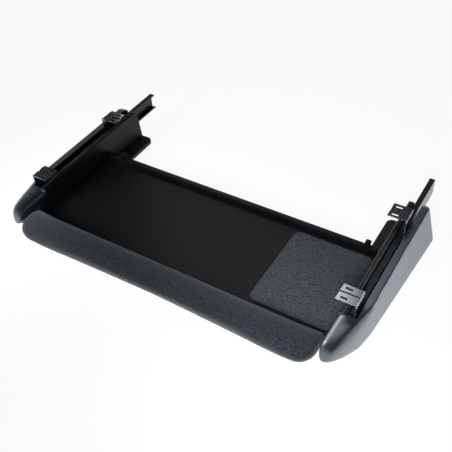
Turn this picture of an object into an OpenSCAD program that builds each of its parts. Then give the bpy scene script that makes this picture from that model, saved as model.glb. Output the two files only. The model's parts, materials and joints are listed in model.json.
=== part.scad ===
// Sliding keyboard tray that hangs under a desk on two ball-bearing slides.
// Frame: +X right, +Y towards the wall, +Z up, millimetres. The origin lies on the
// underside of the desk, at the centre of the eight screw slots. The tray is pushed in.

/* [Tray] */
// Clear width between the two side panels
inner_w = 636; // [560:2:720]
// Depth of the tray from the wrist rest to its rear edge
tray_d = 218; // [200:1:235]
// Height of the moulded tray from its seat to its upper surface
tray_h = 24; // [20:1:30]
// Wall of the moulded tray
tray_wall = 3; // [2:0.5:4]
// Thickness of the stiffening ribs under the tray
rib_t = 2; // [1.5:0.5:3]
// Number of rib bays across the tray
rib_bays_x = 10; // [6:1:12]
// Number of rib bays from front to rear
rib_bays_y = 4; // [3:1:5]
// Side play between the tray and each side panel
tray_play = 0.5; // [0.3:0.1:1]
// Depth of the rear bar
bar_d = 12; // [10:1:16]
// Height of the rear bar above the tray
bar_h = 10; // [8:1:14]
// Length of each cord hook's foot along the rear bar
hook_foot = 54; // [52:1:60]
// Distance from the tray's right-hand end to the right hook's ring
hook_right_in = 22; // [10:0.5:42]
// Distance from the tray's left-hand end to the left hook's ring
hook_left_in = 41.5; // [10:0.5:42]
// Outer radius of a cord hook
hook_r = 8; // [7:0.5:10]
// Thickness of a cord hook's ring
hook_t = 3; // [2.5:0.5:3.5]
// Width of a cord hook's ring
hook_w = 8; // [6:1:12]
// Mouth of a cord hook
hook_mouth = 4; // [3:0.5:5]
// Rounding along the top of the rear bar
bar_r = 3; // [1:0.5:4]

/* [Mouse mat] */
// Width of the mat
mat_w = 155; // [120:1:200]
// Thickness of the mat
mat_t = 3; // [2:0.5:5]
// Corner radius of the mat
mat_r = 12; // [6:1:20]
// Space between the mat and the side panel
mat_gap = 5; // [3:1:12]
// Space between the mat and the front edge of the tray
mat_front_gap = 9; // [5:1:14]
// Space between the mat and the rear bar
mat_rear_gap = 12; // [8:1:20]

/* [Wrist rest] */
// Depth from the noses' front to the tray
wrist_d = 53.5; // [48:0.5:62]
// How far the pad stands ahead of the noses
pad_lead = 22.5; // [14:0.5:24]
// Height of the pad's crown above the tray
pad_rise = 32; // [28:1:38]
// How far the front of the pad is drawn in at the middle
pad_draw = 6.5; // [2:0.5:10]
// Corner radius at each front end of the pad, seen from above
pad_front_r = 34; // [24:1:40]
// Corner radius at each rear end of the pad, seen from above
pad_rear_r = 19; // [10:1:24]
// Rounding at each end of the pad's crown
pad_end = 12; // [6:1:16]
// Height of the pad's widest line above its underside
pad_mid_h = 34; // [30:1:38]
// Height of the pad's underside above the tray's seat
pad_foot = 6; // [4.5:0.5:10]
// How far the underside rises at each end of the pad
pad_lift = 26; // [16:1:28]
// Length over which the underside rises
pad_lift_run = 90; // [60:1:120]
// Space between the pad and each nose
pad_gap = 5; // [3:0.5:8]
// Thickness of the wrist rest's base plate
base_t = 4; // [3:0.5:6]
// Thickness of the base's upright rear wall
base_wall = 3; // [2.5:0.5:4]
// How far the pad overhangs its base plate at the front
base_inset = 22; // [18:0.5:28]
// How far the pad overhangs its base at each end
base_end = 62; // [50:1:80]
// Corner radius of the base plate
base_r = 20; // [10:1:30]

/* [Side housings] */
// Space between the desk and the top of the housings
desk_gap = 25; // [18:1:40]
// Height of a housing
side_h = 76; // [66:1:90]
// Width of a side panel, from its inner face to the slide
panel_w = 14.5; // [12:0.5:18]
// How far the inner face of a panel leans out at the top
panel_lean = 5; // [0:0.5:6]
// Wall of the panels and covers
side_wall = 3; // [2.5:0.25:4]
// Width of the ledge that carries the tray
ledge_w = 30; // [24:1:40]
// Height of the ledge
ledge_h = 8; // [7:0.5:11]
// Corner radius at the rear of the ledge
ledge_r = 12; // [6:1:20]
// Rounding along the top edges of a panel
panel_r = 4; // [1:0.5:5]
// Rounding at the upper rear corner of a panel, seen from the side
panel_end_r = 14; // [8:1:18]
// Width of the outer strip on top of a cover
strip_w = 15; // [12:1:22]
// How far the foot of a cover stands out at its rear end
flare = 19; // [10:1:24]
// Length of the open groove in a housing
groove_len = 307; // [290:1:330]
// Length of the nose ahead of the groove
nose_len = 78.5; // [70:0.5:92]
// Length of the inward curve on the outer side of a cover, up to the nose's tip
nose_curve = 102; // [85:1:120]
// Height of the nose's tip above the underside
nose_tip_h = 45.5; // [40:0.5:54]
// Distance of the nose's tip from its inner face
nose_tip_in = 9; // [8:1:14]
// Solid depth of the nose's tip
nose_solid = 12; // [8:1:18]
// Rounding at the rear end of a cover
rear_round = 11; // [4:1:14]

/* [Slides] */
// Length of a desk rail
rail_len = 385; // [350:1:420]
// Height of a desk rail
rail_h = 35; // [31:0.5:40]
// Width of a desk rail
rail_w = 10.5; // [9.5:0.25:12]
// Sheet thickness of both rails
rail_t = 1.2; // [1:0.1:1.4]
// Depth of a desk rail's rolled lips
lip_h = 2.3; // [1.5:0.1:3]
// How deep a desk rail lies below the top of the housing
rail_sink = 8; // [5:0.5:12]
// Space between a desk rail and the side panel
rail_gap = 1; // [0.6:0.1:1.5]
// Space between the outermost rivet head and the groove's edge
groove_gap = 1.8; // [1:0.1:3]
// Length of a drawer rail
drawer_rail_len = 300; // [280:1:304]
// Diameter of a bearing ball
ball_d = 4; // [3.5:0.1:4.5]
// Running clearance on each side of a ball
ball_play = 0.05; // [0.02:0.01:0.08]
// Distance between neighbouring balls
ball_pitch = 12; // [10:0.5:14]
// Balls in each row
ball_count = 6; // [5:1:7]
// Length of a retainer beyond its end balls
retainer_end = 9; // [6:0.5:10]
// Sheet thickness of a ball retainer
retainer_t = 0.8; // [0.6:0.1:0.9]
// Running clearance beside a ball retainer
retainer_gap = 0.5; // [0.4:0.05:0.6]
// Travel of the tray from pushed in to pulled out
travel = 210; // [190:1:212]
// Height of the bent stops on the rails
stop_h = 9; // [6:0.5:11]
// Reach of the bent stops and of the retainer's ears past the line of the balls
stop_lap = 1; // [0.5:0.1:1.5]
// Space left between a rail's stop and the retainer's ear
stop_gap = 4; // [2:0.5:6]
// Thickness of the rubber stop bumpers
bumper_t = 2; // [1.5:0.25:3]
// Height of a stop bumper
bumper_h = 20; // [14:1:26]
// Gap left at the bumper when the tray is pushed in
bumper_gap = 0.3; // [0.2:0.05:0.5]

/* [Desk brackets] */
// Distance between the front and rear brackets
bracket_pitch = 216; // [200:1:230]
// Length of a bracket along the rail
bracket_len = 35; // [32:1:42]
// Reach of a bracket's flange from its plate
flange_reach = 36; // [32:1:45]
// Sheet thickness of a bracket
bracket_t = 1.6; // [1.2:0.1:2.5]
// Length of a screw slot
slot_len = 13; // [10:0.5:16]
// Width of a screw slot
slot_w = 4.6; // [4:0.1:6]
// Distance between a bracket's two slots
slot_pitch = 21; // [19:0.5:24]
// Distance from the flange's free edge to the slot centres
slot_inset = 12; // [10:0.5:16]
// Width of the sunk bead between the slots
bead_w = 5; // [3:0.5:7]
// Depth of the sunk bead
bead_h = 2; // [1:0.25:3]
// Height of the plate's foot above the underside of the rail
plate_foot = 6; // [3:0.5:10]
// Distance between a bracket's two rivets
rivet_pitch = 20; // [14:1:24]

/* [Fasteners] */
// Shank diameter of every screw and rivet
shank_d = 3.8; // [3:0.1:4.2]
// Head diameter of every screw and rivet
head_d = 7; // [6:0.1:7.6]
// Head height of every screw and rivet
head_h = 1.6; // [1.2:0.1:2]
// Radial clearance of a screw in its hole
hole_play = 0.05; // [0.02:0.01:0.2]
// How far a screw bites into the wall behind a rail
screw_bite = 3; // [2:0.5:5]
// Space between two parts that lie side by side
fit_gap = 0.3; // [0.2:0.05:0.5]

/* [Hidden] */
$fn = 48;
turn = 360;
eps = 0.01;
cut = 1;
drill = 5;
far = 200;

// Heights
top_z = -desk_gap;
bot_z = top_z - side_h;
seat_z = bot_z + ledge_h;
tray_z = seat_z + tray_h;
bar_z = tray_z + bar_h;
rail_top = top_z - rail_sink;
rail_bot = rail_top - rail_h;
rail_mid = (rail_top + rail_bot) / 2;
ball_gap = ball_d + 2 * ball_play;
drawer_rail_h = rail_h - 2 * (rail_t + ball_gap);
ball_rise = rail_h / 2 - rail_t - ball_gap / 2;
nose_tip_z = bot_z + nose_tip_h;

// Distances from the middle plane, on the right-hand side
panel_x = inner_w / 2;
slide_x = panel_x + panel_w;
rail_x = slide_x + rail_gap;
web_x = rail_x + rail_w;
plate_x = web_x + bracket_t;
groove_x = plate_x + head_h + groove_gap;
strip_x = groove_x + strip_w;
cover_x = strip_x + flare;
nose_tip_x = panel_x + nose_tip_in;
ledge_x = panel_x - ledge_w;
retainer_x = web_x - rail_t - retainer_gap - retainer_t;
flange_x = retainer_x - retainer_gap;
ball_x = (rail_x + rail_t + flange_x) / 2;
tray_x = panel_x - tray_play;
pad_x = panel_x - pad_gap;
mat_x = tray_x - mat_gap;

// Places from front to rear
rail_front = -(bracket_pitch + bracket_len) / 2;
stop_y = rail_front - bumper_t - bumper_gap;
nose_y = stop_y - nose_len;
rear_y = stop_y + groove_len;
tray_front = nose_y + wrist_d;
tray_rear = tray_front + tray_d;
bar_front = tray_rear - bar_d;
mat_front = tray_front + mat_front_gap;
mat_d = bar_front - mat_rear_gap - mat_front;
drawer_rail_front = stop_y + bumper_t;
drawer_rail_rear = drawer_rail_front + drawer_rail_len;
retainer_len = (ball_count - 1) * ball_pitch + 2 * retainer_end;
retainer_front = rail_front + rail_t + stop_gap + travel / 2;
pad_front = nose_y - pad_lead;
pad_rear = tray_front - base_wall - fit_gap;
pad_bot = seat_z + pad_foot;
base_z = pad_bot - base_t;
pad_mid = pad_bot + pad_mid_h;
pad_top = tray_z + pad_rise;

// Rows of fasteners and the bosses that hold them
bracket_y = [-bracket_pitch / 2, bracket_pitch / 2];
drawer_screw_y = [for (k = [0, 1, 2]) drawer_rail_front + drawer_rail_len * (0.12 + 0.38 * k)];
cover_screw_y = [for (k = [0, 1, 2]) stop_y + groove_len * (0.1 + 0.4 * k)];
tray_screw_y = [for (k = [0, 1, 2]) stop_y + (tray_rear - stop_y) * (0.1 + 0.38 * k)];
base_screw_x = [for (k = [0:3]) inner_w * (k - 1.5) / 4.5];
boss_x = (panel_x + slide_x) / 2;
boss_l = 12;
boss_h = 18;
cover_screw_len = 14;
window_w = 10;
window_h = 30;
tray_boss_x = panel_x - ledge_w / 2;
tray_boss_r = 5;

// Exponents of the curved shells: how late each edge falls and how round a section is
side_fall = [1.09, 0.35];
top_fall = [8.6, 0.56];
bottom_fall = [1.1, 0.9];
edge_fall = 0.74;
edge_run = 115;
body_round = 0.1;
start_round = 0.68;
tip_round = 0.77;
pad_flat = 3;

// Facets of the curved shells
cover_sides = 40;
cavity_sides = 20;
pad_sides = 24;
pad_rings = 19;

color_steel = [0.05, 0.05, 0.06];
color_cover = [0.16, 0.17, 0.18];
color_tray = [0.08, 0.08, 0.09];
color_mat = [0.13, 0.14, 0.16];
color_pad = [0.11, 0.12, 0.14];
color_zinc = [0.6, 0.6, 0.62];

// Points of an arc about a centre
function arc(c, r, a0, a1, n = 8) =
    [for (k = [0:n]) let (a = a0 + (a1 - a0) * k / n) c + r * [cos(a), sin(a)]];

// One coordinate of a squared-off circle
function squared(v, round) = sign(v) * pow(abs(v), round);

// Triangles that join rings of points, with a fan over each end
function skin(sides, rings) = concat(
    [for (i = [0:rings - 2], j = [0:sides - 1], half = [0, 1])
        let (a = i * sides + j, b = i * sides + (j + 1) % sides)
        half == 0 ? [a, b, b + sides] : [a, b + sides, a + sides]],
    [for (j = [1:sides - 2]) [0, j + 1, j]],
    [for (j = [1:sides - 2]) let (a = (rings - 1) * sides) [a, a + j, a + j + 1]]);

// Share of the way along a run, from 0 at its start to 1 at its end
function along(y, start, end) = min(1, max(0, (y - start) / (end - start)));

// Fall of an edge from 1 to 0 over a run
function fall(u, bend) = pow(1 - pow(u, bend[0]), bend[1]);

// How far a round corner has drawn in at a share of its radius
function corner(u) = 1 - sqrt(1 - u * u);

// Outline of a cover at one place along its length
function nose_share(y) = along(y, stop_y, nose_y);
function rear_inset(y) =
    rear_round * corner(along(y, rear_y - 1.5 * rear_round, rear_y));
function cover_lean(y) = flare * along(y, nose_y + nose_curve, rear_y);
function cover_outer(y) =
    let (u = along(y, nose_y + nose_curve, nose_y), body = strip_x + cover_lean(y))
    nose_tip_x + (body - nose_tip_x) * fall(u, side_fall) - rear_inset(y);
function cover_inner(y) =
    panel_x + nose_tip_in * corner(along(y, nose_y + 2 * nose_tip_in, nose_y));
function cover_top(y) =
    nose_tip_z + (top_z - nose_tip_z) * fall(nose_share(y), top_fall) - rear_inset(y);
function cover_bottom(y) =
    nose_tip_z - (nose_tip_z - bot_z) * fall(nose_share(y), bottom_fall);
function cover_ring(y, inset, sides) =
    let (xo = cover_outer(y), xi = cover_inner(y), zt = cover_top(y), zb = cover_bottom(y))
    let (a = max(0.2, (xo - xi) / 2 - inset), h = max(0.2, (zt - zb) / 2 - inset))
    let (share = pow(along(y, nose_y + edge_run, nose_y), edge_fall))
    let (outer = body_round + (tip_round - body_round) * share)
    let (inner = y < stop_y ? start_round + (tip_round - start_round) * nose_share(y) : body_round)
    [for (j = [0:sides - 1])
        let (t = turn * (j + 0.5) / sides)
        let (r = cos(t) > 0 ? outer : inner, px = squared(cos(t), r), pz = squared(sin(t), r))
        [(xo + xi) / 2 + a * px - cover_lean(y) * max(0, px) * (1 + pz) / 2, y, (zt + zb) / 2 + h * pz]];

// Outline of the pad at one place along its width
function pad_ring(x) =
    let (u = along(abs(x), pad_x - pad_front_r, pad_x), v = along(abs(x), pad_x - pad_rear_r, pad_x))
    let (bow = pad_draw * (1 - pow(min(1, abs(x) / (pad_x - pad_front_r)), 2)))
    let (yf = pad_front + bow + pad_front_r * corner(u), yr = pad_rear - pad_rear_r * corner(v))
    let (zt = pad_top - pad_end * corner(along(abs(x), pad_x - pad_end, pad_x)))
    let (zb = pad_bot - pad_flat + pad_lift * corner(along(abs(x), pad_x - pad_lift_run, pad_x)))
    [for (j = [0:pad_sides - 1])
        let (t = turn * (j + 0.5) / pad_sides)
        let (h = sin(t) > 0 ? zt - pad_mid : pad_mid - zb)
        [x, (yf + yr) / 2 + (yr - yf) / 2 * cos(t), max(pad_bot, pad_mid + h * sin(t))]];

// Shapes that are used more than once
module left_of() {
    mirror([1, 0, 0]) children();
}

// A profile in X and Z, drawn out along Y
module along_y(y0, y1) {
    translate([0, y1, 0])
        rotate([90, 0, 0])
            linear_extrude(y1 - y0) children();
}

// A profile in Y and Z, drawn out along X
module along_x(x0, x1) {
    translate([x0, 0, 0])
        rotate([90, 0, 90])
            linear_extrude(x1 - x0) children();
}

module box(a, b) {
    translate(a) cube(b - a);
}

// A screw or rivet whose head sits on z = 0 and whose shank points down
module fastener(len) {
    cylinder(h = head_h, r1 = head_d / 2, r2 = head_d / 2 - head_h / 2);
    translate([0, 0, -len]) cylinder(h = len + eps, d = shank_d);
}

module screw_hole(len) {
    translate([0, 0, -len]) cylinder(h = 2 * len, d = shank_d + 2 * hole_play);
}

// Rails
module desk_rail() {
    stop_x = web_x - rail_t;
    difference() {
        union() {
            along_y(rail_front, rail_front + rail_len) {
                polygon([
                    [web_x, rail_top], [rail_x, rail_top], [rail_x, rail_top - rail_t - lip_h],
                    [rail_x + rail_t, rail_top - rail_t - lip_h], [rail_x + rail_t, rail_top - rail_t],
                    [stop_x, rail_top - rail_t], [stop_x, rail_bot + rail_t],
                    [rail_x + rail_t, rail_bot + rail_t], [rail_x + rail_t, rail_bot + rail_t + lip_h],
                    [rail_x, rail_bot + rail_t + lip_h], [rail_x, rail_bot], [web_x, rail_bot]
                ]);
            }
            box([ball_x - stop_lap, rail_front, rail_mid - stop_h / 2],
                [stop_x + eps, rail_front + rail_t, rail_mid + stop_h / 2]);
        }
        for (y = bracket_y, k = [-0.5, 0.5])
            translate([web_x, y + k * rivet_pitch, rail_mid]) rotate([0, 90, 0]) screw_hole(drill);
    }
}

module drawer_rail() {
    z0 = rail_mid - drawer_rail_h / 2;
    z1 = rail_mid + drawer_rail_h / 2;
    difference() {
        union() {
            along_y(drawer_rail_front, drawer_rail_rear) {
                polygon([
                    [slide_x, z0], [flange_x, z0], [flange_x, z0 + rail_t],
                    [slide_x + rail_t, z0 + rail_t], [slide_x + rail_t, z1 - rail_t],
                    [flange_x, z1 - rail_t], [flange_x, z1], [slide_x, z1]
                ]);
            }
            box([slide_x + rail_t - eps, drawer_rail_rear - rail_t, rail_mid - stop_h / 2],
                [ball_x + stop_lap, drawer_rail_rear, rail_mid + stop_h / 2]);
        }
        for (y = drawer_screw_y)
            translate([slide_x, y, rail_mid]) rotate([0, 90, 0]) screw_hole(drill);
    }
}

module drawer_screws() {
    for (y = drawer_screw_y)
        translate([slide_x + rail_t, y, rail_mid])
            rotate([0, 90, 0]) fastener(rail_t + side_wall + screw_bite);
}

// Ball cages
module ball_places() {
    for (k = [0:ball_count - 1], side = [-1, 1])
        translate([ball_x, retainer_front + retainer_end + k * ball_pitch, rail_mid + side * ball_rise])
            children();
}

module ball_retainer() {
    x0 = rail_x + rail_t + retainer_gap;
    x1 = retainer_x + retainer_t;
    z0 = ball_rise - retainer_t / 2;
    z1 = ball_rise + retainer_t / 2;
    difference() {
        union() {
            along_y(retainer_front, retainer_front + retainer_len) {
                polygon([
                    [x1, rail_mid - z1], [x1, rail_mid + z1], [x0, rail_mid + z1],
                    [x0, rail_mid + z0], [retainer_x, rail_mid + z0], [retainer_x, rail_mid - z0],
                    [x0, rail_mid - z0], [x0, rail_mid - z1]
                ]);
            }
            for (y = [retainer_front, retainer_front + retainer_len - retainer_t])
                box([ball_x - stop_lap, y, rail_mid - stop_h / 4],
                    [retainer_x + eps, y + retainer_t, rail_mid + stop_h / 4]);
        }
        ball_places() cylinder(h = ball_d, d = ball_d + 2 * ball_play, center = true);
    }
}

module bearing_balls() {
    ball_places() sphere(d = ball_d);
}

// Brackets
module bracket(y) {
    x_end = plate_x - flange_reach;
    half = bracket_len / 2;
    b = bead_w / 2;
    difference() {
        union() {
            along_x(x_end, plate_x) {
                translate([y, 0])
                    polygon([
                        [-half, 0], [-half, -bracket_t], [-b - bracket_t, -bracket_t],
                        [-b - bracket_t, -bead_h - bracket_t], [b + bracket_t, -bead_h - bracket_t],
                        [b + bracket_t, -bracket_t], [half, -bracket_t], [half, 0],
                        [b, 0], [b, -bead_h], [-b, -bead_h], [-b, 0]
                    ]);
            }
            box([web_x, y - half, rail_bot + plate_foot], [plate_x, y + half, -bracket_t / 2]);
        }
        for (side = [-1, 1])
            translate([x_end + slot_inset, y + side * slot_pitch / 2, 0]) slot_cut();
        for (k = [-0.5, 0.5])
            translate([web_x, y + k * rivet_pitch, rail_mid]) rotate([0, 90, 0]) screw_hole(drill);
    }
}

module slot_cut() {
    reach = (slot_len - slot_w) / 2;
    for (side = [-1, 1])
        translate([side * reach, 0, 0]) cylinder(h = far, d = slot_w, center = true);
    cube([2 * reach, slot_w, far], center = true);
}

module rivets() {
    for (y = bracket_y, k = [-0.5, 0.5])
        translate([plate_x, y + k * rivet_pitch, rail_mid])
            rotate([0, 90, 0]) fastener(bracket_t + rail_t);
}

// Side housings
module side_panel() {
    w = side_wall;
    difference() {
        union() {
            along_y(stop_y, rear_y) {
                polygon(concat(
                    [[ledge_x, bot_z], [ledge_x + w, bot_z], [ledge_x + w, seat_z - w],
                     [panel_x, seat_z - w], [panel_x, bot_z], [panel_x + w, bot_z], [panel_x + w, seat_z],
                     [panel_x + w + panel_lean, top_z - w], [slide_x - w, top_z - w],
                     [slide_x - w, bot_z + w], [slide_x, bot_z + w]],
                    arc([slide_x - panel_r, top_z - panel_r], panel_r, 0, 90),
                    arc([panel_x + panel_lean + panel_r, top_z - panel_r], panel_r, 90, 180),
                    [[panel_x, seat_z], [ledge_x, seat_z]]));
            }
            for (y = cover_screw_y)
                box([panel_x + w - eps, y - boss_l / 2, bot_z + w],
                    [slide_x - w + eps, y + boss_l / 2, bot_z + w + boss_h]);
            // Closed rear end, thicker where its corner is rounded
            panel_filling(rear_y - w, bot_z + w);
            panel_filling(rear_y - panel_end_r, top_z - panel_end_r - w);
        }
        ledge_corner();
        panel_corner();
        for (y = drawer_screw_y)
            translate([slide_x, y, rail_mid]) rotate([0, 90, 0]) screw_hole(drill);
        for (y = cover_screw_y)
            translate([boss_x, y, bot_z]) screw_hole(head_h + cover_screw_len + cut);
        for (y = tray_screw_y)
            translate([tray_boss_x, y, seat_z]) screw_hole(ledge_h);
    }
}

// Filling between the two walls of a panel, from a place and a height to its rear end
module panel_filling(y, z) {
    half = side_wall / 2;
    lean = panel_lean * along(z, seat_z, top_z);
    along_y(y, rear_y) {
        polygon([
            [panel_x + lean + half, z], [slide_x - half, z], [slide_x - half, top_z - half],
            [panel_x + panel_lean + half, top_z - half]
        ]);
    }
}

// What the rounded rear corner of the ledge leaves out
module ledge_corner() {
    translate([ledge_x, rear_y, bot_z])
        difference() {
            translate([-cut, -ledge_r, -cut]) cube([ledge_r + cut, ledge_r + cut, ledge_h + 2 * cut]);
            translate([ledge_r, -ledge_r, -2 * cut]) cylinder(h = ledge_h + 4 * cut, r = ledge_r);
        }
}

// What the rounded upper rear corner of a panel leaves out
module panel_corner() {
    r = panel_end_r;
    translate([panel_x - cut, rear_y - r, top_z - r])
        difference() {
            cube([panel_w + 2 * cut, r + cut, r + cut]);
            translate([-cut, 0, 0]) rotate([0, 90, 0]) cylinder(h = panel_w + 4 * cut, r = r);
        }
}

// Outer shell of a housing, with its bullet nose
module cover_solid() {
    nose = [for (k = [0:16]) nose_y + (nose_len - side_wall) * pow(0.01 + 0.99 * k / 16, 2)];
    edge = [for (k = [0:3]) nose_y + nose_curve + (edge_run - nose_curve) * k / 3];
    body = [rear_y - 1.5 * rear_round];
    rear = [for (k = [1:5]) rear_y - 1.5 * rear_round * (1 - sin(18 * k))];
    rings = concat(nose, [stop_y], edge, body, rear);
    polyhedron([for (y = rings) each cover_ring(y, 0, cover_sides)], skin(cover_sides, len(rings)));
}

module cover_cavity() {
    front = [for (k = [0:4]) nose_y + nose_solid + (nose_len - nose_solid - side_wall) * k / 4];
    edge = [for (k = [0:3]) nose_y + nose_curve + (edge_run - nose_curve) * k / 3];
    rear = [for (k = [0:3]) rear_y - side_wall - (1.5 * rear_round - side_wall) * (1 - sin(30 * k))];
    rings = concat(front, [stop_y], edge, rear);
    polyhedron([for (y = rings) each cover_ring(y, side_wall, cavity_sides)], skin(cavity_sides, len(rings)));
}

module side_cover() {
    difference() {
        cover_solid();
        difference() {
            cover_cavity();
            box([panel_x - far, stop_y - side_wall, bot_z - far], [cover_x + far, stop_y, far]);
        }
        // Window in the bulkhead that the bumper sits on
        box([slide_x - window_w / 2, stop_y - side_wall - cut, nose_tip_z - window_h],
            [slide_x + window_w / 2, stop_y + cut, nose_tip_z]);
        // Room for the side panel, and the groove for the slide
        box([panel_x - far, stop_y, bot_z - far], [panel_x + side_wall + fit_gap, rear_y + cut, far]);
        box([panel_x, stop_y, bot_z + side_wall], [groove_x, rear_y + cut, far]);
        for (y = cover_screw_y)
            translate([boss_x, y, bot_z]) {
                screw_hole(side_wall + cut);
                translate([0, 0, -cut]) cylinder(h = cut + head_h, d = head_d + 4 * hole_play);
            }
    }
}

module cover_screw_set() {
    for (y = cover_screw_y)
        translate([boss_x, y, bot_z + head_h]) rotate([180, 0, 0]) fastener(cover_screw_len);
}

module stop_bumper() {
    box([ball_x, stop_y, rail_mid - bumper_h / 2],
        [plate_x + head_h, stop_y + bumper_t, rail_mid + bumper_h / 2]);
}

// Tray
module tray_shell() {
    w = tray_wall;
    difference() {
        box([-tray_x, tray_front, seat_z], [tray_x, tray_rear, tray_z]);
        box([-tray_x + w, tray_front + w, seat_z - cut], [tray_x - w, tray_rear - w, tray_z - w]);
    }
    for (k = [1:rib_bays_x - 1])
        translate([tray_x * (2 * k / rib_bays_x - 1), 0, 0])
            box([-rib_t / 2, tray_front + eps, seat_z + w], [rib_t / 2, tray_rear - eps, tray_z - eps]);
    for (k = [1:rib_bays_y - 1])
        translate([0, tray_front + tray_d * k / rib_bays_y, 0])
            box([-tray_x + eps, -rib_t / 2, seat_z + w], [tray_x - eps, rib_t / 2, tray_z - eps]);
    for (side = [-1, 1], y = tray_screw_y)
        translate([side * tray_boss_x, y, seat_z]) cylinder(h = tray_h - eps, r = tray_boss_r);
}

module tray_screw_set() {
    for (side = [-1, 1], y = tray_screw_y)
        translate([side * tray_boss_x, y, seat_z - side_wall])
            rotate([180, 0, 0]) fastener(side_wall + tray_h / 2);
}

// Section of the rear bar and of the hooks' feet, standing on the tray
module bar_section() {
    r = bar_r;
    polygon(concat(
        [[bar_front, tray_z], [tray_rear, tray_z]],
        arc([tray_rear - r, bar_z - r], r, 0, 90),
        arc([bar_front + r, bar_z - r], r, 90, 180)));
}

module cord_hook(ring_in) {
    ring_y = (bar_front + tray_rear) / 2;
    ring_z = bar_z + hook_r - hook_t;
    along_x(tray_x - hook_foot, tray_x) bar_section();
    translate([tray_x - ring_in - hook_w, ring_y, ring_z])
        rotate([0, 90, 0])
            difference() {
                cylinder(h = hook_w, r = hook_r);
                translate([0, 0, -cut]) cylinder(h = hook_w + 2 * cut, r = hook_r - hook_t);
                // Mouth through which a cord is pressed in
                rotate([0, 0, 140])
                    translate([0, -hook_mouth / 2, -cut]) cube([hook_r + cut, hook_mouth, hook_w + 2 * cut]);
            }
}

// Wrist rest
module base_outline() {
    x1 = pad_x - base_end;
    y0 = pad_front + pad_draw + base_inset;
    polygon(concat(
        [[x1, tray_front], [-x1, tray_front]],
        arc([-x1 + base_r, y0 + base_r], base_r, 180, 270),
        arc([x1 - base_r, y0 + base_r], base_r, 270, 360)));
}

module pad_solid() {
    xs = [for (k = [-pad_rings:pad_rings]) pad_x * sin(90 * k / pad_rings * 0.985) / sin(90 * 0.985)];
    polyhedron([for (x = xs) each pad_ring(x)], skin(pad_sides, len(xs)));
}

// Nodes on the desk
module desk_rail_left() { color(color_steel) left_of() desk_rail(); }
module desk_rail_right() { color(color_steel) desk_rail(); }
module front_bracket_left() { color(color_steel) left_of() bracket(bracket_y[0]); }
module front_bracket_right() { color(color_steel) bracket(bracket_y[0]); }
module rear_bracket_left() { color(color_steel) left_of() bracket(bracket_y[1]); }
module rear_bracket_right() { color(color_steel) bracket(bracket_y[1]); }
module bracket_rivets() {
    color(color_zinc) {
        rivets();
        left_of() rivets();
    }
}

// Nodes of the ball cages
module ball_retainer_left() { color(color_zinc) left_of() ball_retainer(); }
module ball_retainer_right() { color(color_zinc) ball_retainer(); }
module bearing_balls_left() { color(color_zinc) left_of() bearing_balls(); }
module bearing_balls_right() { color(color_zinc) bearing_balls(); }

// Nodes that slide with the tray
module drawer_rail_left() { color(color_steel) left_of() drawer_rail(); }
module drawer_rail_right() { color(color_steel) drawer_rail(); }
module drawer_rail_screws() {
    color(color_zinc) {
        drawer_screws();
        left_of() drawer_screws();
    }
}
module side_panel_left() { color(color_tray) left_of() side_panel(); }
module side_panel_right() { color(color_tray) side_panel(); }
module side_cover_left() { color(color_cover) left_of() side_cover(); }
module side_cover_right() { color(color_cover) side_cover(); }
module cover_screws() {
    color(color_zinc) {
        cover_screw_set();
        left_of() cover_screw_set();
    }
}
module stop_bumper_left() { color(color_tray) left_of() stop_bumper(); }
module stop_bumper_right() { color(color_tray) stop_bumper(); }
module tray_panel() {
    color(color_tray)
        difference() {
            tray_shell();
            for (side = [-1, 1], y = tray_screw_y)
                translate([side * tray_boss_x, y, seat_z]) screw_hole(tray_h / 2 + cut);
            for (x = base_screw_x)
                translate([x, tray_front, (seat_z + tray_z) / 2]) rotate([90, 0, 0]) screw_hole(drill);
        }
}
module tray_screws() { color(color_zinc) tray_screw_set(); }
module rear_bar() {
    color(color_steel) along_x(-tray_x + hook_foot, tray_x - hook_foot) bar_section();
}
module cord_hook_left() { color(color_tray) left_of() cord_hook(hook_left_in); }
module cord_hook_right() { color(color_tray) cord_hook(hook_right_in); }
module mouse_mat() {
    color(color_mat)
        translate([mat_x - mat_w, mat_front, tray_z])
            linear_extrude(mat_t)
                polygon(concat(
                    arc([mat_w - mat_r, mat_r], mat_r, 270, 360),
                    arc([mat_w - mat_r, mat_d - mat_r], mat_r, 0, 90),
                    arc([mat_r, mat_d - mat_r], mat_r, 90, 180),
                    arc([mat_r, mat_r], mat_r, 180, 270)));
}
module wrist_rest_base() {
    x1 = pad_x - base_end;
    color(color_tray)
        difference() {
            union() {
                translate([0, 0, base_z]) linear_extrude(base_t) base_outline();
                box([-x1, tray_front - base_wall, base_z + eps], [x1, tray_front, tray_z]);
            }
            for (x = base_screw_x)
                translate([x, tray_front, (seat_z + tray_z) / 2]) rotate([90, 0, 0]) screw_hole(drill);
        }
}
module wrist_rest_pad() { color(color_pad) pad_solid(); }
module wrist_rest_screws() {
    color(color_zinc)
        for (x = base_screw_x)
            translate([x, tray_front + tray_wall, (seat_z + tray_z) / 2])
                rotate([-90, 0, 0]) fastener(tray_wall + base_wall);
}

desk_rail_left();
desk_rail_right();
front_bracket_left();
front_bracket_right();
rear_bracket_left();
rear_bracket_right();
bracket_rivets();
ball_retainer_left();
ball_retainer_right();
bearing_balls_left();
bearing_balls_right();
drawer_rail_left();
drawer_rail_right();
drawer_rail_screws();
side_panel_left();
side_panel_right();
side_cover_left();
side_cover_right();
cover_screws();
stop_bumper_left();
stop_bumper_right();
tray_panel();
tray_screws();
rear_bar();
cord_hook_left();
cord_hook_right();
mouse_mat();
wrist_rest_base();
wrist_rest_pad();
wrist_rest_screws();
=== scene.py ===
import json
import math

import bmesh
import bpy
from mathutils import Matrix, Vector


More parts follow.
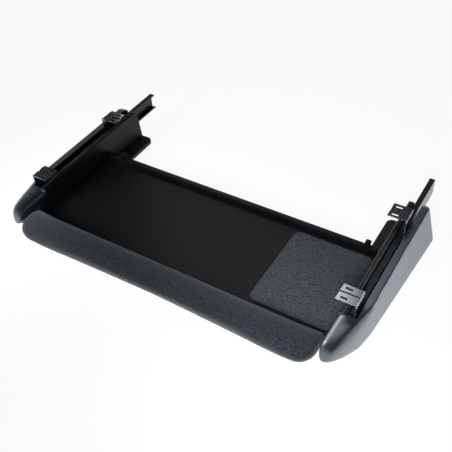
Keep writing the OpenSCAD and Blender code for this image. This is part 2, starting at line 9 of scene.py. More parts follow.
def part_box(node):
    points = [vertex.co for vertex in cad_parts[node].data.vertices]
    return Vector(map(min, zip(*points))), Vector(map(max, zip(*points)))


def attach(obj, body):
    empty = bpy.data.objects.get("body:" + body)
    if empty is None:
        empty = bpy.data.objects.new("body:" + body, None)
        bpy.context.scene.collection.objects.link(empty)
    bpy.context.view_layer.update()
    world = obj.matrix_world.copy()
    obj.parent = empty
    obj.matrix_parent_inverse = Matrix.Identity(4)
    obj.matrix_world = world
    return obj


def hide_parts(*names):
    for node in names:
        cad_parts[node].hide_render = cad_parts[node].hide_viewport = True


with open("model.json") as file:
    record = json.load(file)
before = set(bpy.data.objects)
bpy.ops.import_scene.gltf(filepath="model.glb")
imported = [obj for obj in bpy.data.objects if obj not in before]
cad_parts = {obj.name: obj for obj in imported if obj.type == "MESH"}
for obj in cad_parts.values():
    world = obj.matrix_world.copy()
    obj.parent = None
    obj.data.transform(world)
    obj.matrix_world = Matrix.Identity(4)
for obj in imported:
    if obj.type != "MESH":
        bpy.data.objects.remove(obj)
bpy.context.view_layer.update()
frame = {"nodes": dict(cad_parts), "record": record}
MM = 0.001
WELD = 0.000001

# Sizes of the covers in millimetres, as in the part's source
INNER_W = 636.0
PANEL_W = 14.5
STRIP_W = 15.0
SIDE_H = 76.0
SIDE_WALL = 3.0
FIT_GAP = 0.3
FLARE = 19.0
GROOVE_LEN = 307.0
NOSE_LEN = 78.5
NOSE_CURVE = 102.0
NOSE_TIP_H = 45.5
NOSE_TIP_IN = 9.0
NOSE_SOLID = 12.0
REAR_ROUND = 11.0
REAR_RUN = 1.5 * REAR_ROUND
EDGE_RUN = 115.0
WINDOW_W = 10.0
WINDOW_H = 30.0
SCREW_SHARES = (0.1, 0.5, 0.9)
SCREW_HOLE_R = 1.95
HEAD_HOLE_R = 3.6
HEAD_H = 1.6
TOP_Z = -25.0
BOT_Z = TOP_Z - SIDE_H
PANEL_X = INNER_W / 2
SLIDE_X = PANEL_X + PANEL_W
BOSS_X = (PANEL_X + SLIDE_X) / 2
GROOVE_X = 349.0
STRIP_X = GROOVE_X + STRIP_W
STOP_Y = -127.8
NOSE_Y = STOP_Y - NOSE_LEN
REAR_Y = STOP_Y + GROOVE_LEN
NOSE_TIP_X = PANEL_X + NOSE_TIP_IN
NOSE_TIP_Z = BOT_Z + NOSE_TIP_H

# Cuts in millimetres: places past the whole cover, how far a cut runs past a face, and a drill's length
FAR_X = (200.0, 500.0)
FAR_Z = (-300.0, 200.0)
CUT = 1.0
DRILL_L = 12.0

# Exponents of the covers: how late each edge falls and how round a section is
SIDE_FALL = (1.09, 0.35)
TOP_FALL = (8.6, 0.56)
BOTTOM_FALL = (1.1, 0.9)
EDGE_FALL = 0.74
BODY_ROUND = 0.1
START_ROUND = 0.68
TIP_ROUND = 0.77
SLOPE_ROUND_X = 1.0
SLOPE_LOSS_X = 0.1
SLOPE_ROUND_Z = 0.22
SLOPE_GAIN_Z = 0.4
LEAST_HALF = 0.05

# Rings and facets of the covers
NOSE_RINGS = 48
BODY_RINGS = 25
REAR_RINGS = 10
COVER_SIDES = 88
CAVITY_NOSE_RINGS = 9
CAVITY_REAR_RINGS = 6
CAVITY_SIDES = 32
TIP_SHARE = 0.004
HOLE_SIDES = 32

# Wrist rest's pad in millimetres, wider and with blunter ends than in the part's source
PAD_X = PANEL_X - 1.5
PAD_FRONT = NOSE_Y - 22.5
PAD_REAR = -156.1
PAD_BOT = -87.0
PAD_MID = PAD_BOT + 34.0
PAD_TOP = -37.0
PAD_DRAW = 6.5
PAD_FRONT_R = 30.0
PAD_REAR_R = 8.0
PAD_END = 7.0
PAD_LIFT = 26.0
PAD_LIFT_RUN = 90.0
PAD_FLAT = 3.0
PAD_ROOM = 2.5
PAD_VOXEL = 5.0

# Rings, facets and filling of the pad
PAD_RINGS = 60
PAD_SIDES = 48
PAD_TURN = 89.0
PAD_PRESSURE = 4.0
SWELL_FRAMES = 20

# Mouse mat in millimetres: its corners' radius, and how far in and how high each ring of its edge lies
MAT_R = 12.0
MAT_EDGE = ((1.2, 0.0), (0.0, 1.0), (0.0, 1.8), (0.3, 2.4), (0.8, 2.8), (1.5, 3.0))

# Steps round a corner of the mat
MAT_STEPS = 12

# Steel in millimetres: edge radii, the band of painted highlight along the brackets' bend, and the faces
# that take another paint
SHEET_EDGE = 0.6
RAIL_EDGE = 0.4
HIGHLIGHT_DEPTH = 9.0
HIGHLIGHT_START = 0.8
HIGHLIGHT_FULL = 0.2
SLOT_MARGIN = 1.5
SLOT_DEPTH = 2.2

# Square millimetres of a broad face, and the cosine from which a face looks along an axis
BROAD_AREA = 100.0
FACING = 0.9

# Camera and floor, in metres and degrees
CAMERA_PLACE = (0.5496, -0.7409, 0.7971)
CAMERA_AZIMUTH = 35.3178
CAMERA_ELEVATION = 44.0023
CAMERA_ROLL = -5.168
FLOOR_HALF = 8.0
FLOOR_Z = -0.104
FLOOR_GLOW = 0.93

# Sockets of a colour mix node by place, since their names repeat
MIX_A = 6
MIX_B = 7
MIX_OUT = 2


# Curves of the covers and of the pad
def along(v, start, end):
    return min(1.0, max(0.0, (v - start) / (end - start)))


def corner(u):
    return 1.0 - math.sqrt(max(0.0, 1.0 - u * u))


def fall(u, late, blunt):
    return (1.0 - u ** late) ** blunt


def squared(v, rounding):
    return math.copysign(abs(v) ** rounding, v)


def steps(start, end, count):
    return [start + (end - start) * k / (count - 1) for k in range(count)]


def slowing(end, run, count):
    return [end - run * (1 - math.sin(math.radians(90 * k / count))) for k in range(1, count + 1)]


def cover_ring(y, inset, sides):
    share = along(y, STOP_Y, NOSE_Y)
    lean = FLARE * along(y, NOSE_Y + NOSE_CURVE, REAR_Y)
    back = REAR_ROUND * corner(along(y, REAR_Y - REAR_RUN, REAR_Y))
    u = along(y, NOSE_Y + NOSE_CURVE, NOSE_Y)
    xo = NOSE_TIP_X + (STRIP_X + lean - NOSE_TIP_X) * fall(u, *SIDE_FALL) - back
    xi = PANEL_X + NOSE_TIP_IN * corner(along(y, NOSE_Y + 2 * NOSE_TIP_IN, NOSE_Y))
    zt = NOSE_TIP_Z + (TOP_Z - NOSE_TIP_Z) * fall(share, *TOP_FALL) - back
    zb = NOSE_TIP_Z - (NOSE_TIP_Z - BOT_Z) * fall(share, *BOTTOM_FALL)
    a = max(LEAST_HALF, (xo - xi) / 2 - inset)
    h = max(LEAST_HALF, (zt - zb) / 2 - inset)
    inner = START_ROUND + (TIP_ROUND - START_ROUND) * share if y < STOP_Y else BODY_ROUND
    outer = BODY_ROUND + (TIP_ROUND - BODY_ROUND) * along(y, NOSE_Y + EDGE_RUN, NOSE_Y) ** EDGE_FALL
    ring = []
    for j in range(sides):
        t = 2 * math.pi * (j + 0.5) / sides
        r = outer if math.cos(t) > 0 else inner
        rx, rz = r, r
        # The nose slopes gently on its upper inner side
        if y < STOP_Y and math.cos(t) < 0 < math.sin(t):
            rx = SLOPE_ROUND_X - SLOPE_LOSS_X * share
            rz = SLOPE_ROUND_Z + SLOPE_GAIN_Z * share ** 3
        px, pz = squared(math.cos(t), rx), squared(math.sin(t), rz)
        x = (xo + xi) / 2 + a * px - lean * max(0.0, px) * (1 + pz) / 2
        ring.append((x, y, (zt + zb) / 2 + h * pz))
    return ring


def pad_ring(x, sides, shrink):
    px = PAD_X - shrink
    ax = min(abs(x), px)
    bow = PAD_DRAW * (1 - min(1.0, ax / (px - PAD_FRONT_R)) ** 2)
    yf = PAD_FRONT + shrink + bow + PAD_FRONT_R * corner(along(ax, px - PAD_FRONT_R, px))
    yr = PAD_REAR - shrink - PAD_REAR_R * corner(along(ax, px - PAD_REAR_R, px))
    zt = PAD_TOP - shrink - PAD_END * corner(along(ax, px - PAD_END, px))
    zb = PAD_BOT - PAD_FLAT + shrink + PAD_LIFT * corner(along(ax, px - PAD_LIFT_RUN, px))
    ring = []
    for j in range(sides):
        t = 2 * math.pi * (j + 0.5) / sides
        y, z = math.cos(t), math.sin(t)
        h = zt - PAD_MID if z > 0 else PAD_MID - zb
        ring.append((x, (yf + yr) / 2 + (yr - yf) / 2 * y, max(PAD_BOT, PAD_MID + h * z)))
    return ring


# Mesh helpers
def add_object(name, bm, material=None, smooth_angle=None):
    bmesh.ops.recalc_face_normals(bm, faces=bm.faces)
    mesh = bpy.data.meshes.new(name)
    bm.to_mesh(mesh)
    bm.free()
    obj = bpy.data.objects.new(name, mesh)
    bpy.context.scene.collection.objects.link(obj)
    if smooth_angle:
        smooth(obj, smooth_angle)
    if material:
        mesh.materials.append(material)
    return obj


def smooth(obj, degrees):
    for p in obj.data.polygons:
        p.use_smooth = True
    obj.data.set_sharp_from_angle(angle=math.radians(degrees))


def loft(rings):
    bm = bmesh.new()
    rows = [[bm.verts.new(Vector(p) * MM) for p in r] for r in rings]
    for a, b in zip(rows, rows[1:]):
        for j in range(len(a)):
            k = (j + 1) % len(a)
            bm.faces.new((a[j], a[k], b[k], b[j]))
    bm.faces.new(rows[0][::-1])
    bm.faces.new(rows[-1])
    return bm


def block(lo, hi):
    bm = bmesh.new()
    bmesh.ops.create_cube(bm, size=1.0)
    size = (Vector(hi) - Vector(lo)) * MM
    centre = (Vector(hi) + Vector(lo)) * 0.5 * MM
    place = Matrix.Translation(centre) @ Matrix.Diagonal(size.to_4d())
    bmesh.ops.transform(bm, matrix=place, verts=bm.verts)
    return bm


def post(centre, radius, height):
    bm = bmesh.new()
    r = radius * MM
    bmesh.ops.create_cone(bm, cap_ends=True, segments=HOLE_SIDES, radius1=r, radius2=r, depth=height * MM)
    bmesh.ops.translate(bm, vec=Vector(centre) * MM, verts=bm.verts)
    return bm


def take_away(obj, bm):
    tool = add_object("tool", bm)
    mod = obj.modifiers.new("cut", "BOOLEAN")
    mod.operation = "DIFFERENCE"
    mod.solver = "EXACT"
    mod.object = tool
    settle(obj)
    bpy.data.objects.remove(tool)


def settle(obj):
    graph = bpy.context.evaluated_depsgraph_get()
    mesh = bpy.data.meshes.new_from_object(obj.evaluated_get(graph))
    obj.modifiers.clear()
    obj.data = mesh


def close_cuts(obj):
    bm = bmesh.new()
    bm.from_mesh(obj.data)
    bmesh.ops.remove_doubles(bm, verts=bm.verts, dist=WELD)
    rim = [e for e in bm.edges if len(e.link_faces) == 1]
    bmesh.ops.holes_fill(bm, edges=rim, sides=4)
    bm.to_mesh(obj.data)
    bm.free()


def even_normals(obj):
    mod = obj.modifiers.new("normals", "WEIGHTED_NORMAL")
    mod.mode = "FACE_AREA"
    mod.keep_sharp = True
    settle(obj)


def dress(obj, *materials):
    obj.data.materials.clear()
    for material in materials:
        obj.data.materials.append(material)


# Material helpers
def new_material(name, rough, **sockets):
    mat = bpy.data.materials.new(name)
    mat.use_nodes = True
    bsdf = mat.node_tree.nodes["Principled BSDF"]
    bsdf.inputs["Roughness"].default_value = rough
    for key, value in sockets.items():
        bsdf.inputs[key.replace("_", " ")].default_value = value
    return mat, mat.node_tree, bsdf


def add_node(tree, kind, **values):
    node = tree.nodes.new(kind)
    for key, value in values.items():
        setattr(node, key, value)
    return node


def noise(tree, scale, detail=4.0, rough=0.6, stretch=(1, 1, 1)):
    place = add_node(tree, "ShaderNodeTexCoord")
    turn = add_node(tree, "ShaderNodeMapping")
    turn.inputs["Scale"].default_value = stretch
    tex = add_node(tree, "ShaderNodeTexNoise")
    tex.inputs["Scale"].default_value = scale
    tex.inputs["Detail"].default_value = detail
    tex.inputs["Roughness"].default_value = rough
    tree.links.new(place.outputs["Object"], turn.inputs["Vector"])
    tree.links.new(turn.outputs["Vector"], tex.inputs["Vector"])
    return tex.outputs["Fac"]


def ramp(tree, source, low, high, start=0.3, end=0.7):
    node = add_node(tree, "ShaderNodeValToRGB")
    node.color_ramp.elements[0].position = start
    node.color_ramp.elements[1].position = end
    node.color_ramp.elements[0].color = (*low, 1)
    node.color_ramp.elements[1].color = (*high, 1)
    tree.links.new(source, node.inputs["Fac"])
    return node.outputs["Color"]


def spread(tree, source, low, high, start=0.3, end=0.7):
    node = add_node(tree, "ShaderNodeMapRange")
    node.inputs["From Min"].default_value = start
    node.inputs["From Max"].default_value = end
    node.inputs["To Min"].default_value = low
    node.inputs["To Max"].default_value = high
    tree.links.new(source, node.inputs["Value"])
    return node.outputs["Result"]


def combine(tree, operation, first, second):
    node = add_node(tree, "ShaderNodeMath", operation=operation)
    tree.links.new(first, node.inputs[0])
    tree.links.new(second, node.inputs[1])
    return node.outputs["Value"]


def bump(tree, bsdf, source, strength, distance):
    node = add_node(tree, "ShaderNodeBump")
    node.inputs["Strength"].default_value = strength
    node.inputs["Distance"].default_value = distance
    tree.links.new(source, node.inputs["Height"])
    tree.links.new(node.outputs["Normal"], bsdf.inputs["Normal"])


# Plastic, rubber and paint: a broad drift of tone over a fine grain
def plastic(name, low, high, rough, grain, depth, strength=0.25, **sockets):
    mat, tree, bsdf = new_material(name, rough, **sockets)
    broad = noise(tree, 9.0, detail=3.0)
    fine = noise(tree, grain, detail=3.0, rough=0.7)
    tree.links.new(ramp(tree, broad, low, high), bsdf.inputs["Base Color"])
    tree.links.new(spread(tree, broad, rough * 0.92, rough * 1.08), bsdf.inputs["Roughness"])
    bump(tree, bsdf, fine, strength, depth)
    return mat


COOL = (0.86, 0.94, 1.0, 1.0)
BLACK = ((0.008, 0.009, 0.010), (0.012, 0.013, 0.014))
housing = plastic("housing_plastic", *BLACK, rough=0.38, grain=420.0, depth=0.0001, strength=0.5,
                  IOR=2.3, Coat_Weight=0.9, Coat_Roughness=0.38, Specular_Tint=COOL,
                  Coat_Tint=(0.84, 0.93, 1.0, 1.0))
tray_black = plastic("tray_plastic", (0.0025, 0.003, 0.0035), (0.0045, 0.005, 0.0055),
                     rough=0.5, grain=900.0, depth=0.00012, Specular_IOR_Level=0.2)
panel_black = plastic("panel_plastic", (0.010, 0.011, 0.012), (0.014, 0.015, 0.016),
                      rough=0.45, grain=420.0, depth=0.0001, strength=0.5, Specular_IOR_Level=0.25)
rubber = plastic("bumper_rubber", (0.016, 0.016, 0.016), (0.022, 0.022, 0.022),
                 rough=0.75, grain=700.0, depth=0.0001)
paint = plastic("painted_steel", *BLACK, rough=0.2, grain=1600.0, depth=0.00002, strength=0.08,
                IOR=2.6, Specular_Tint=COOL)
rail_paint = plastic("rail_paint", (0.003, 0.0033, 0.004), (0.006, 0.0065, 0.0075),
                     rough=0.42, grain=1600.0, depth=0.00002, strength=0.1, Specular_Tint=COOL)
# Lighter, glossier copy of the rail paint for the right rail's outer side only: a painted reflection
rail_glint_paint = plastic("rail_glint_paint", *BLACK, rough=0.25, grain=1600.0, depth=0.00002, IOR=2.6)


# Bare metal with a brushed grain
def metal(name, low, high, rough):
    mat, tree, bsdf = new_material(name, rough, Metallic=1.0)
    brushed = noise(tree, 300.0, detail=4.0, rough=0.6, stretch=(1, 0.04, 1))
    tree.links.new(ramp(tree, brushed, low, high), bsdf.inputs["Base Color"])
    tree.links.new(spread(tree, brushed, rough * 0.8, rough * 1.25), bsdf.inputs["Roughness"])
    bump(tree, bsdf, brushed, strength=0.1, distance=0.00005)
    return mat


zinc = metal("zinc", (0.5, 0.5, 0.52), (0.66, 0.66, 0.68), rough=0.32)
# Painted highlight for the eased steel edges: a patchy light grey colour stands in for glints on the edge
# radii
edge_highlight = plastic("edge_highlight", (0.05, 0.05, 0.05), (0.65, 0.66, 0.68),
                    rough=0.35, grain=900.0, depth=0.00005)
ball_steel = metal("ball_steel", (0.7, 0.7, 0.72), (0.78, 0.78, 0.8), rough=0.1)


# Flecked foam and cloth
def cloth_surface(name, low, high, grain, strength, sheen):
    mat, tree, bsdf = new_material(name, 0.9, Sheen_Weight=sheen, Sheen_Roughness=0.45)
    bsdf.inputs["Sheen Tint"].default_value = (0.84, 0.92, 1.0, 1)
    bsdf.inputs["Specular IOR Level"].default_value = 0.25
    fleck = noise(tree, grain, detail=5.0, rough=0.75)
    weave = add_node(tree, "ShaderNodeTexVoronoi")
    weave.inputs["Scale"].default_value = grain * 1.6
    place = add_node(tree, "ShaderNodeTexCoord")
    tree.links.new(place.outputs["Object"], weave.inputs["Vector"])
    tree.links.new(ramp(tree, fleck, low, high, start=0.41, end=0.59), bsdf.inputs["Base Color"])
    height = combine(tree, "ADD", fleck, weave.outputs["Distance"])
    bump(tree, bsdf, height, strength, distance=0.0006)
    return mat


mat_top = cloth_surface("mat_foam", (0.011, 0.013, 0.016), (0.056, 0.065, 0.075),
                        grain=390.0, strength=0.6, sheen=0.12)
pad_cloth = cloth_surface("pad_fabric", (0.0045, 0.006, 0.008), (0.028, 0.032, 0.039),
                          grain=400.0, strength=0.8, sheen=0.2)

# Looks of the pieces by material, with side panels duller than the other housings
looks = {
    "painted_steel": paint, "zinc": zinc, "ball_steel": ball_steel, "housing_plastic": housing,
    "tray_plastic": tray_black, "mat_foam": mat_top, "pad_fabric": pad_cloth, "bumper_rubber": rubber,
}
for sub in frame["record"]["subparts"]:
    obj = frame["nodes"][sub["node"]]
    look = panel_black if sub["node"].startswith("side_panel") else looks[sub["material_slot"]]
    if not obj.material_slots:
        obj.data.materials.append(look)
    for s in obj.material_slots:
        s.material = look


# Outer covers, lofted finely and cut as the moulded shells are
def make_cover(name, side):
    nose_end = STOP_Y - SIDE_WALL
    shares = [TIP_SHARE + (1 - TIP_SHARE) * k / (NOSE_RINGS - 1) for k in range(NOSE_RINGS)]
    nose = [NOSE_Y + (nose_end - NOSE_Y) * share ** 2 for share in shares]
    body = steps(STOP_Y, REAR_Y - REAR_RUN, BODY_RINGS)
    rear = slowing(REAR_Y, REAR_RUN, REAR_RINGS)
    obj = add_object(name, loft([cover_ring(y, 0, COVER_SIDES) for y in nose + body + rear]))
    front = steps(NOSE_Y + NOSE_SOLID, nose_end, CAVITY_NOSE_RINGS)
    end = slowing(REAR_Y - SIDE_WALL, REAR_RUN - SIDE_WALL, CAVITY_REAR_RINGS)
    rings = [cover_ring(y, SIDE_WALL, CAVITY_SIDES) for y in front + body + end]
    cavity = add_object(name + "_cavity", loft(rings))
    # The bulkhead behind the nose stays
    take_away(cavity, block((FAR_X[0], nose_end, FAR_Z[0]), (FAR_X[1], STOP_Y, FAR_Z[1])))
    bm = bmesh.new()
    bm.from_mesh(cavity.data)
    take_away(obj, bm)
    bpy.data.objects.remove(cavity)
    # Window in the bulkhead that the bumper sits on
    take_away(obj, block((SLIDE_X - WINDOW_W / 2, nose_end - CUT, NOSE_TIP_Z - WINDOW_H),
                         (SLIDE_X + WINDOW_W / 2, STOP_Y + CUT, NOSE_TIP_Z)))
    # Room for the side panel, and the groove for the slide
    take_away(obj, block((FAR_X[0], STOP_Y, FAR_Z[0]),
                         (PANEL_X + SIDE_WALL + FIT_GAP, REAR_Y + CUT, FAR_Z[1])))
    take_away(obj, block((PANEL_X, STOP_Y, BOT_Z + SIDE_WALL), (GROOVE_X, REAR_Y + CUT, FAR_Z[1])))
    # Screw holes with sunk heads
    for share in SCREW_SHARES:
        y = STOP_Y + GROOVE_LEN * share
        take_away(obj, post((BOSS_X, y, BOT_Z), SCREW_HOLE_R, DRILL_L))
        take_away(obj, post((BOSS_X, y, BOT_Z + (HEAD_H - CUT) / 2), HEAD_HOLE_R, HEAD_H + CUT))
    close_cuts(obj)
    if side < 0:
        obj.data.transform(Matrix.Diagonal((-1, 1, 1, 1)))
        obj.data.flip_normals()
    smooth(obj, degrees=28)
    even_normals(obj)
    dress(obj, housing)
    return obj


for word, side in (("left", -1), ("right", 1)):
    cover = make_cover("cover_shell_" + word, side)
    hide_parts("side_cover_" + word)
    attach(cover, "drawer")


# Wrist rest, blown up as a cloth cover over foam
def swell(obj):
    start = [v.co.copy() for v in obj.data.vertices]
    mod = obj.modifiers.new("cloth", "CLOTH")
    mod.settings.use_pressure = True
    mod.settings.uniform_pressure_force = PAD_PRESSURE
    mod.settings.effector_weights.gravity = 0.0
    scene = bpy.context.scene
    for f in range(1, SWELL_FRAMES + 1):
        scene.frame_set(f)
        bpy.context.view_layer.update()
    graph = bpy.context.evaluated_depsgraph_get()
    done = obj.evaluated_get(graph).to_mesh()
    moved = [v.co.copy() for v in done.vertices]
    obj.modifiers.clear()
    scene.frame_set(1)
    most = PAD_ROOM * MM
    for v, a, b in zip(obj.data.vertices, start, moved):
        d = b - a
        if d.length > most:
            d *= most / d.length
        v.co = a + d


def make_pad():
    half = PAD_X - PAD_ROOM
    widest = math.sin(math.radians(PAD_TURN))
    turns = [PAD_TURN * k / PAD_RINGS for k in range(-PAD_RINGS, PAD_RINGS + 1)]
    xs = [half * math.sin(math.radians(turn)) / widest for turn in turns]
    obj = add_object("wrist_cushion", loft([pad_ring(x, PAD_SIDES, PAD_ROOM) for x in xs]))
    mod = obj.modifiers.new("even", "REMESH")
    mod.mode = "VOXEL"
    mod.voxel_size = PAD_VOXEL * MM
    settle(obj)
    swell(obj)
    for v in obj.data.vertices:
        v.co.z = max(v.co.z, PAD_BOT * MM)
        v.co.x = max(-PAD_X * MM, min(PAD_X * MM, v.co.x))
        v.co.y = min(v.co.y, PAD_REAR * MM)
    soft = obj.modifiers.new("even_out", "SMOOTH")
    soft.factor = 0.5
    soft.iterations = 2
    sub = obj.modifiers.new("fine", "SUBSURF")
    sub.levels = 1
    sub.render_levels = 1
    settle(obj)
    for p in obj.data.polygons:
        p.use_smooth = True
    dress(obj, pad_cloth)
    return obj


pad = make_pad()
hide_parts("wrist_rest_pad")
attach(pad, "drawer")


# Mouse mat with a soft rounded edge
def make_mat():
    lo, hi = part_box("mouse_mat")
    r = MAT_R * MM
    corners = ((hi.x - r, lo.y + r, -90), (hi.x - r, hi.y - r, 0),
               (lo.x + r, hi.y - r, 90), (lo.x + r, lo.y + r, 180))
    rings = []
    for inset, rise in MAT_EDGE:
        reach = r - inset * MM
        z = (lo.z + rise * MM) / MM
        ring = []
        for cx, cy, first in corners:
            for turn in steps(first, first + 90, MAT_STEPS + 1):
                a = math.radians(turn)
                ring.append(((cx + reach * math.cos(a)) / MM, (cy + reach * math.sin(a)) / MM, z))
        rings.append(ring)
    return add_object("mat_sheet", loft(rings), mat_top, smooth_angle=50)


sheet = make_mat()
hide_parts("mouse_mat")
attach(sheet, "drawer")


# Bent and rolled steel with the small radius of its edges, whose bevel faces take a painted highlight
def eased(node, width, body, look, other, choose):
    bm = bmesh.new()
    bm.from_mesh(frame["nodes"][node].data)
    bmesh.ops.remove_doubles(bm, verts=bm.verts, dist=WELD)
    bmesh.ops.dissolve_limit(bm, angle_limit=math.radians(1.0), verts=bm.verts, edges=bm.edges)
    obj = add_object(node + "_eased", bm)
    dress(obj, look, edge_highlight, other)
    mod = obj.modifiers.new("edge", "BEVEL")
    # The bevel faces take the painted edge highlight
    mod.material = 1
    mod.width = width * MM
    mod.segments = 2
    mod.limit_method = "ANGLE"
    mod.angle_limit = math.radians(40)
    settle(obj)
    lo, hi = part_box(node)
    for p in obj.data.polygons:
        if choose(p, lo, hi):
            p.material_index = 2
    smooth(obj, degrees=35)
    even_normals(obj)
    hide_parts(node)
    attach(obj, body)


# Painted highlight along the outer bend of the brackets: a patchy light grey mixed into the paint's colour
# near the top of the bend stands in for the glint on the bend
def paint_bend_highlight(mat, outer, depth, highlight_grey):
    tree = mat.node_tree
    base = tree.nodes["Principled BSDF"].inputs["Base Color"]
    place = add_node(tree, "ShaderNodeTexCoord")
    split = add_node(tree, "ShaderNodeSeparateXYZ")
    tree.links.new(place.outputs["Object"], split.inputs["Vector"])
    side = add_node(tree, "ShaderNodeMath", operation="ABSOLUTE")
    tree.links.new(split.outputs["X"], side.inputs[0])
    start, full = outer - HIGHLIGHT_START * MM, outer - HIGHLIGHT_FULL * MM
    patchy = spread(tree, noise(tree, 260.0, detail=2.0), 0.0, 1.0, start=0.38, end=0.48)
    at_bend = spread(tree, side.outputs["Value"], 0.0, 1.0, start=start, end=full)
    near_top = spread(tree, split.outputs["Z"], 0.0, 1.0, start=-depth, end=-0.6 * depth)
    bend_highlight_mask = combine(tree, "MULTIPLY", combine(tree, "MULTIPLY", patchy, at_bend), near_top)
    mix = add_node(tree, "ShaderNodeMix", data_type="RGBA")
    tree.links.new(base.links[0].from_socket, mix.inputs[MIX_A])
    mix.inputs[MIX_B].default_value = (*highlight_grey, 1)
    tree.links.new(bend_highlight_mask, mix.inputs["Factor"])
    tree.links.new(mix.outputs[MIX_OUT], base)


# Painted highlight on the outer bend of every bracket
paint_bend_highlight(paint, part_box("front_bracket_right")[1].x, HIGHLIGHT_DEPTH * MM, highlight_grey=(0.8, 0.82, 0.84))


# Walls of the slots in a bracket's flange, which take the darker, duller rail paint: painted shade in the
# slots
def slot_shade_faces(p, lo, hi):
    edge = SLOT_MARGIN * MM
    inside = all(lo[k] + edge < p.center[k] < hi[k] - edge for k in (0, 1))
    return inside and p.center.z > -SLOT_DEPTH * MM and abs(p.normal.z) < FACING


# Broad outer side of the right rail, which alone takes a lighter, glossier paint than the rest of both
# rails: a painted reflection
def rail_glint_side(p, lo, hi):
    return p.normal.x > FACING and p.area > BROAD_AREA * MM * MM and p.center.x > 0


for word in ("left", "right"):
    eased("front_bracket_" + word, SHEET_EDGE, "desk_mount", paint, rail_paint, slot_shade_faces)
    eased("rear_bracket_" + word, SHEET_EDGE, "desk_mount", paint, rail_paint, slot_shade_faces)
    eased("desk_rail_" + word, RAIL_EDGE, "desk_mount", rail_paint, rail_glint_paint, rail_glint_side)


# Camera at the photograph's place
def aim(place, azimuth, elevation, roll):
    a, e, r = math.radians(azimuth), math.radians(elevation), math.radians(roll)
    right = Vector((math.cos(a), math.sin(a), 0))
    ahead = Vector((-math.sin(a) * math.cos(e), math.cos(a) * math.cos(e), -math.sin(e)))
    down = ahead.cross(right)
    x = right * math.cos(r) - down * math.sin(r)
    y = -(right * math.sin(r) + down * math.cos(r))
    return Matrix.Translation(place) @ Matrix((x, y, -ahead)).transposed().to_4x4()


lens = bpy.data.cameras.new("camera")
lens.sensor_width = 36.0
lens.lens = 51.543
camera = bpy.data.objects.new("camera", lens)
bpy.context.scene.collection.objects.link(camera)
camera.matrix_world = aim(CAMERA_PLACE, CAMERA_AZIMUTH, CAMERA_ELEVATION, CAMERA_ROLL)
bpy.context.scene.camera = camera


# Pale studio floor, which keeps the object's shadow
def light_share(tree, *names):
    path = add_node(tree, "ShaderNodeLightPath")
    out = path.outputs[names[0]]
    for n in names[1:]:
        out = combine(tree, "MAXIMUM", out, path.outputs[n])
    return out


def make_floor():
    mat = bpy.data.materials.new("studio_floor")
    mat.use_nodes = True
    tree = mat.node_tree
    tree.nodes.remove(tree.nodes["Principled BSDF"])
    dull = add_node(tree, "ShaderNodeBsdfDiffuse")
    dull.inputs["Color"].default_value = (0.9, 0.9, 0.9, 1)
    glow = add_node(tree, "ShaderNodeEmission")
    glow.inputs["Color"].default_value = (1, 1, 1, 1)
    glow.inputs["Strength"].default_value = 1.0
    share = add_node(tree, "ShaderNodeMath", operation="MULTIPLY")
    share.inputs[1].default_value = FLOOR_GLOW
    seen = light_share(tree, "Is Camera Ray", "Is Glossy Ray", "Is Transmission Ray")
    tree.links.new(seen, share.inputs[0])
    blend = add_node(tree, "ShaderNodeMixShader")
    tree.links.new(share.outputs["Value"], blend.inputs["Fac"])
    tree.links.new(dull.outputs["BSDF"], blend.inputs[1])
    tree.links.new(glow.outputs["Emission"], blend.inputs[2])
    tree.links.new(blend.outputs["Shader"], tree.nodes["Material Output"].inputs["Surface"])
    bm = bmesh.new()
    bmesh.ops.create_grid(bm, x_segments=1, y_segments=1, size=FLOOR_HALF)
    obj = add_object("floor", bm, mat)
    obj.location = (0, 0, FLOOR_Z)
    return obj


floor = make_floor()


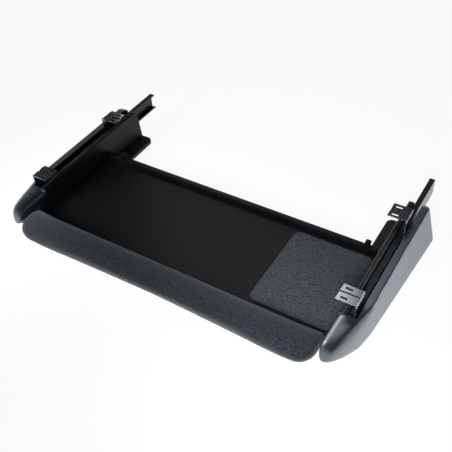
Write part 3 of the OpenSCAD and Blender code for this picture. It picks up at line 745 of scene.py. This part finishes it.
# Sky, white to the eye; as light it is bright at the horizon and darkens upwards and to the right
def make_sky():
    world = bpy.data.worlds.new("studio")
    bpy.context.scene.world = world
    world.use_nodes = True
    tree = world.node_tree
    place = add_node(tree, "ShaderNodeTexCoord")
    split = add_node(tree, "ShaderNodeSeparateXYZ")
    tree.links.new(place.outputs["Generated"], split.inputs["Vector"])
    sky = ramp(tree, split.outputs["Z"], (0.95, 0.95, 0.95), (0.05, 0.05, 0.056), start=0.05, end=0.55)
    dim = spread(tree, split.outputs["X"], 1.0, 0.25, start=-0.2, end=0.4)
    dimmed = add_node(tree, "ShaderNodeVectorMath", operation="SCALE")
    tree.links.new(sky, dimmed.inputs[0])
    tree.links.new(dim, dimmed.inputs["Scale"])
    mix = add_node(tree, "ShaderNodeMix", data_type="RGBA")
    tree.links.new(dimmed.outputs["Vector"], mix.inputs[MIX_A])
    mix.inputs[MIX_B].default_value = (1, 1, 1, 1)
    tree.links.new(light_share(tree, "Is Camera Ray"), mix.inputs["Factor"])
    back = tree.nodes["Background"]
    tree.links.new(mix.outputs[MIX_OUT], back.inputs["Color"])
    back.inputs["Strength"].default_value = 1.0


make_sky()


# Soft lights in metres, watts and degrees; one that isn't mirrored leaves no highlight
def softbox(name, place, target, size, power, mirrored=True, beam=180):
    data = bpy.data.lights.new(name, "AREA")
    data.shape = "RECTANGLE"
    data.size, data.size_y = size
    data.energy = power
    data.spread = math.radians(beam)
    obj = bpy.data.objects.new(name, data)
    obj.visible_glossy = mirrored
    bpy.context.scene.collection.objects.link(obj)
    way = Vector(target) - Vector(place)
    obj.matrix_world = Matrix.Translation(place) @ way.to_track_quat("-Z", "Y").to_matrix().to_4x4()


softbox("key", (-0.6, -1.2, 1.8), (0, 0, -0.05), (1.2, 1.0), power=11.0, mirrored=False)
softbox("front", (0.5, -0.85, 0.5), (0.29, -0.18, -0.06), (0.35, 0.35), power=1.8, mirrored=False, beam=56)
softbox("end", (-0.62, -0.75, 0.4), (-0.37, -0.19, -0.06), (0.3, 0.3), power=0.9, mirrored=False, beam=36)
softbox("left", (-0.355, 0.395, 0.453), (0.33, -0.15, -0.04), (0.3, 0.55), power=0.1, beam=30)
softbox("nose", (-0.42, -0.1, 0.445), (0.33, -0.19, -0.05), (0.3, 0.4), power=0.16, beam=28)
softbox("right", (0.91, 0.39, 0.17), (0.31, -0.08, -0.01), (0.25, 0.25), power=0.08, beam=24)
softbox("back", (-0.12, 0.85, 1.1), (0.3, -0.05, 0.0), (0.14, 0.5), power=0.085, beam=45)
softbox("far", (-5.7, 1.25, 1.8), (0.0, 0.0, 0.0), (2.0, 2.0), power=18.0)

view = bpy.context.scene.view_settings
view.view_transform = "Standard"
